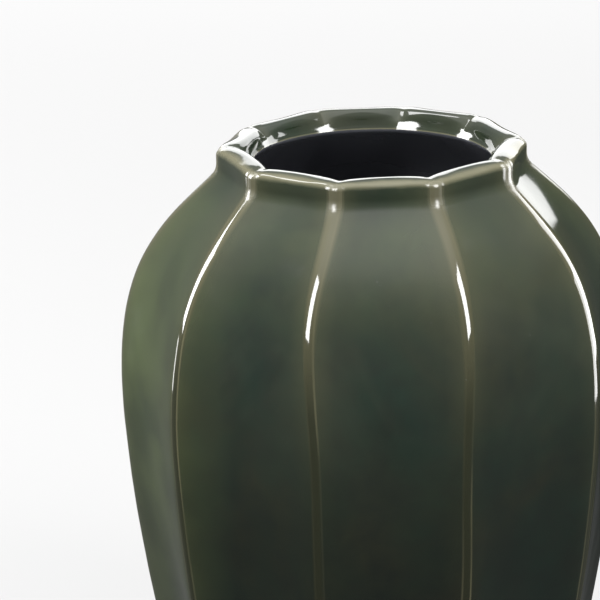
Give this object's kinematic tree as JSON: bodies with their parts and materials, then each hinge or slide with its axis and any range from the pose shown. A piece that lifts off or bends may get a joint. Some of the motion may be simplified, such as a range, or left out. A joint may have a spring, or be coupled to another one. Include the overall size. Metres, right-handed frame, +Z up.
{
  "type": "stoneware vase",
  "caption": "Fluted stoneware vase with hollowed panels between rounded ribs, a short upright collar, a thick lip round a wide mouth and a bare clay foot; holds stems or stands empty.",
  "frame": {"origin": "middle of the flat foot ring's underside, on the surface that the vase stands on", "axes": "+Z up the vase's axis towards the mouth, +X through one rib, -Y through the middle of a panel"},
  "size_m": [0.2, 0.191, 0.26],
  "materials": {
    "bare_clay": "matte fired clay",
    "green_glaze": "gloss",
    "liner_glaze": "gloss"
  },
  "bodies": {
    "root": {"stoneware_body": "bare_clay", "outer_glaze": "green_glaze", "liner_glaze": "liner_glaze"}
  },
  "joints": []
}
